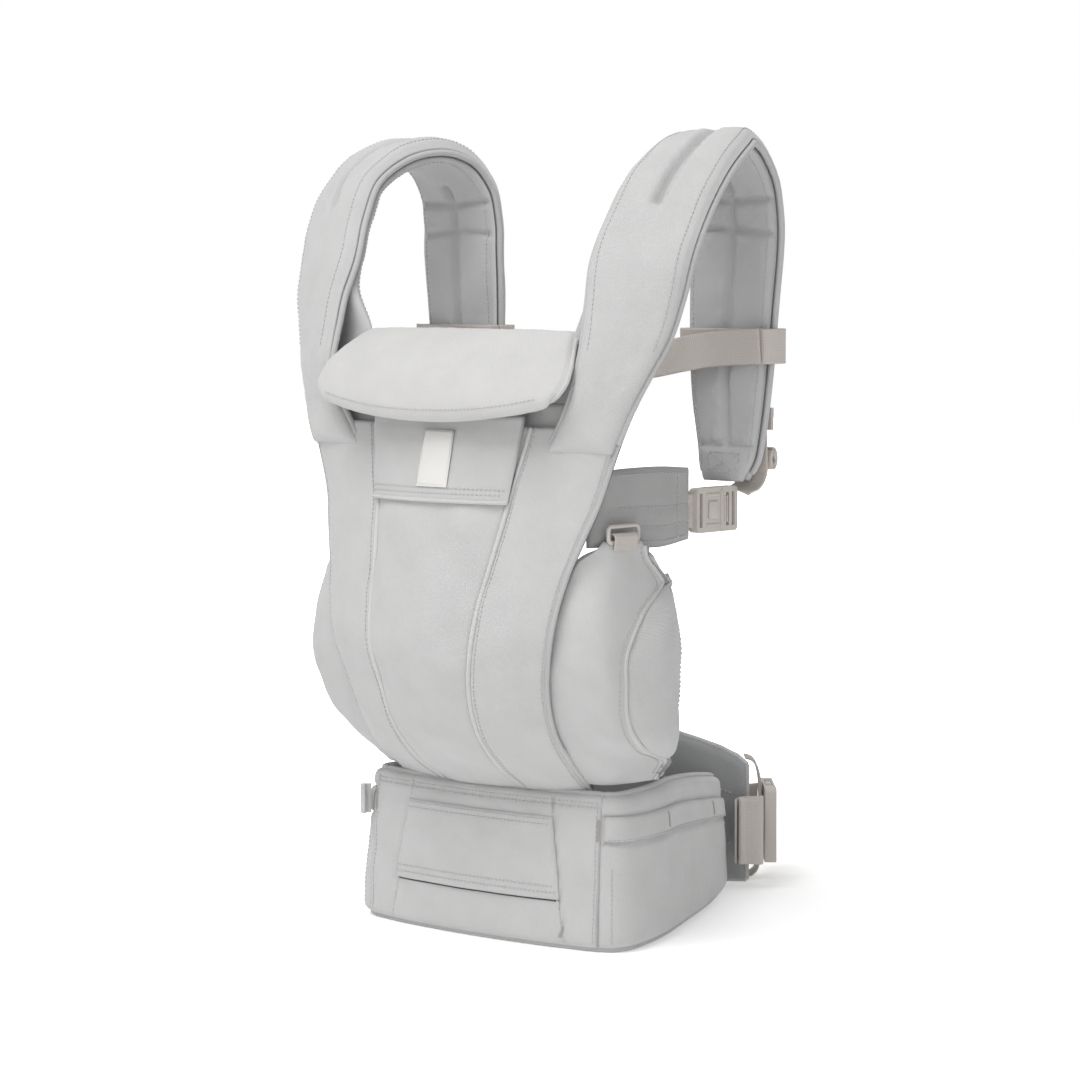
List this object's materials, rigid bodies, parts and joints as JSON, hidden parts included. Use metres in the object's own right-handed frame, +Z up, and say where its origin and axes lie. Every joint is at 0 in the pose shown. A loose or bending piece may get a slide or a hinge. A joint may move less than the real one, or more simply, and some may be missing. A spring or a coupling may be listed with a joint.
{
  "type": "soft baby carrier",
  "caption": "Structured soft baby carrier with a padded waist belt closed in a ring, a bowed body panel, looped shoulder straps, chest strap, fold-over head support and side-release buckles.",
  "frame": {"origin": "on the floor plane, under the middle of the carrier's outline", "axes": "+Z up; -Y is the outward front of the body panel; +X to the right seen from the front"},
  "size_m": [0.3748, 0.4292, 0.5752],
  "materials": {
    "outer_cloth": "light grey woven twill",
    "lining_cloth": "mid grey brushed lining",
    "webbing": "taupe woven webbing",
    "elastic": "taupe ribbed elastic",
    "buckle_plastic": "taupe moulded plastic, fine grain",
    "foam": "soft closed-cell foam",
    "label_cloth": "blank off-white sewn label"
  },
  "bodies": {
    "carrier": {"panel_center": "outer_cloth", "panel_band_left": "outer_cloth", "panel_band_right": "outer_cloth", "panel_lining": "lining_cloth", "panel_top_edge": "outer_cloth", "pocket_flap": "outer_cloth", "label_patch": "label_cloth", "seat_gusset_left": "outer_cloth", "seat_gusset_right": "outer_cloth", "thigh_bolster_left": "outer_cloth", "thigh_bolster_right": "outer_cloth", "seat_tab_left": "webbing", "seat_tab_right": "webbing", "waistbelt_center_cover": "outer_cloth", "waistbelt_center_foam": "foam", "waistbelt_center_lining": "lining_cloth", "waistbelt_front_patch": "outer_cloth"},
    "wing_right": {"waistbelt_wing_right_cover": "outer_cloth", "waistbelt_wing_right_foam": "foam", "waistbelt_wing_right_lining": "lining_cloth", "waist_webbing": "webbing", "waist_webbing_roll": "webbing"},
    "wing_left": {"waistbelt_wing_left_cover": "outer_cloth", "waistbelt_wing_left_foam": "foam", "waistbelt_wing_left_lining": "lining_cloth", "waist_anchor_webbing": "webbing", "waist_buckle_socket": "buckle_plastic", "elastic_safety_loop": "elastic"},
    "waist_plug": {"waist_buckle_plug": "buckle_plastic"},
    "waist_prong_upper": {"waist_buckle_prong_upper": "buckle_plastic"},
    "waist_prong_lower": {"waist_buckle_prong_lower": "buckle_plastic"},
    "hood": {"head_support_pad": "outer_cloth"},
    "strap_right": {"shoulder_strap_right": "outer_cloth", "shoulder_strap_padding_right": "lining_cloth", "shoulder_webbing_right": "webbing", "shoulder_adjuster_right": "buckle_plastic"},
    "underarm_right": {"underarm_strap_right": "outer_cloth", "side_buckle_socket_right": "buckle_plastic"},
    "side_plug_right": {"side_buckle_plug_right": "buckle_plastic"},
    "side_prong_upper_right": {"side_buckle_prong_upper_right": "buckle_plastic"},
    "side_prong_lower_right": {"side_buckle_prong_lower_right": "buckle_plastic"},
    "ring_right": {"seat_ring_right": "buckle_plastic"},
    "strap_left": {"shoulder_strap_left": "outer_cloth", "shoulder_strap_padding_left": "lining_cloth", "shoulder_webbing_left": "webbing", "shoulder_adjuster_left": "buckle_plastic"},
    "underarm_left": {"underarm_strap_left": "outer_cloth", "side_buckle_socket_left": "buckle_plastic"},
    "side_plug_left": {"side_buckle_plug_left": "buckle_plastic"},
    "side_prong_upper_left": {"side_buckle_prong_upper_left": "buckle_plastic"},
    "side_prong_lower_left": {"side_buckle_prong_lower_left": "buckle_plastic"},
    "ring_left": {"seat_ring_left": "buckle_plastic"},
    "chest_right": {"chest_keeper_right": "webbing", "chest_webbing_right": "webbing"},
    "chest_left": {"chest_keeper_left": "webbing", "chest_webbing_left": "webbing", "chest_buckle_socket": "buckle_plastic"},
    "chest_plug": {"chest_buckle_plug": "buckle_plastic"},
    "chest_prong_upper": {"chest_buckle_prong_upper": "buckle_plastic"},
    "chest_prong_lower": {"chest_buckle_prong_lower": "buckle_plastic"}
  },
  "joints": [
    {"name": "wing_right_swing", "type": "hinge", "parent": "carrier", "child": "wing_right", "pos_m": [0.1098, -0.14601, 0.047], "axis": [0, 0, -1], "range_deg": [0, 100]},
    {"name": "wing_left_swing", "type": "hinge", "parent": "carrier", "child": "wing_left", "pos_m": [-0.1098, -0.14601, 0.047], "axis": [0, 0, 1], "range_deg": [0, 100]},
    {"name": "hood_flip", "type": "hinge", "parent": "carrier", "child": "hood", "pos_m": [0, -0.15061, 0.442], "axis": [-1, 0, 0], "range_deg": [0, 110]},
    {"name": "strap_right_spread", "type": "hinge", "parent": "carrier", "child": "strap_right", "pos_m": [0.15, -0.16761, 0.359], "axis": [0, 1, 0], "range_deg": [0, 30]},
    {"name": "underarm_right_swing", "type": "hinge", "parent": "carrier", "child": "underarm_right", "pos_m": [0.117, -0.15061, 0.31], "axis": [0, 0, 1], "range_deg": [0, 32]},
    {"name": "side_right_release", "type": "slide", "parent": "underarm_right", "child": "side_plug_right", "axis": [0, 1, 0], "range_m": [0, 0.026]},
    {"name": "side_right_prong_upper_press", "type": "slide", "parent": "side_plug_right", "child": "side_prong_upper_right", "axis": [0, 0, -1], "range_m": [0, 0.0025]},
    {"name": "side_right_prong_lower_press", "type": "slide", "parent": "side_plug_right", "child": "side_prong_lower_right", "axis": [0, 0, 1], "range_m": [0, 0.0025]},
    {"name": "ring_right_swing", "type": "hinge", "parent": "carrier", "child": "ring_right", "pos_m": [0.127, -0.13761, 0.293], "axis": [0, 1, 0], "range_deg": [-12, 100]},
    {"name": "chest_right_height", "type": "slide", "parent": "strap_right", "child": "chest_right", "axis": [0, 0, 1], "range_m": [-0.022, 0.03]},
    {"name": "strap_left_spread", "type": "hinge", "parent": "carrier", "child": "strap_left", "pos_m": [-0.15, -0.16761, 0.359], "axis": [0, -1, 0], "range_deg": [0, 30]},
    {"name": "underarm_left_swing", "type": "hinge", "parent": "carrier", "child": "underarm_left", "pos_m": [-0.117, -0.15061, 0.31], "axis": [0, 0, -1], "range_deg": [0, 32]},
    {"name": "side_left_release", "type": "slide", "parent": "underarm_left", "child": "side_plug_left", "axis": [0, 1, 0], "range_m": [0, 0.026]},
    {"name": "side_left_prong_upper_press", "type": "slide", "parent": "side_plug_left", "child": "side_prong_upper_left", "axis": [0, 0, -1], "range_m": [0, 0.0025]},
    {"name": "side_left_prong_lower_press", "type": "slide", "parent": "side_plug_left", "child": "side_prong_lower_left", "axis": [0, 0, 1], "range_m": [0, 0.0025]},
    {"name": "ring_left_swing", "type": "hinge", "parent": "carrier", "child": "ring_left", "pos_m": [-0.127, -0.13761, 0.293], "axis": [0, -1, 0], "range_deg": [-12, 100]},
    {"name": "chest_left_height", "type": "slide", "parent": "strap_left", "child": "chest_left", "axis": [0, 0, 1], "range_m": [-0.022, 0.03]},
    {"name": "chest_release", "type": "slide", "parent": "chest_left", "child": "chest_plug", "axis": [1, 0, 0], "range_m": [0, 0.032]},
    {"name": "chest_prong_upper_press", "type": "slide", "parent": "chest_plug", "child": "chest_prong_upper", "axis": [0, 0, -1], "range_m": [0, 0.0025]},
    {"name": "chest_prong_lower_press", "type": "slide", "parent": "chest_plug", "child": "chest_prong_lower", "axis": [0, 0, 1], "range_m": [0, 0.0025]},
    {"name": "waist_release", "type": "slide", "parent": "wing_left", "child": "waist_plug", "axis": [0.6428, -0.766, 0], "range_m": [0, 0.045]},
    {"name": "waist_prong_upper_press", "type": "slide", "parent": "waist_plug", "child": "waist_prong_upper", "axis": [0, 0, -1], "range_m": [0, 0.0025]},
    {"name": "waist_prong_lower_press", "type": "slide", "parent": "waist_plug", "child": "waist_prong_lower", "axis": [0, 0, 1], "range_m": [0, 0.0025]}
  ],
  "couplings": [
    {"joint": "waist_prong_lower_press", "follows": "waist_prong_upper_press", "ratio": 1},
    {"joint": "chest_prong_lower_press", "follows": "chest_prong_upper_press", "ratio": 1},
    {"joint": "side_right_prong_lower_press", "follows": "side_right_prong_upper_press", "ratio": 1},
    {"joint": "side_left_prong_lower_press", "follows": "side_left_prong_upper_press", "ratio": 1}
  ]
}
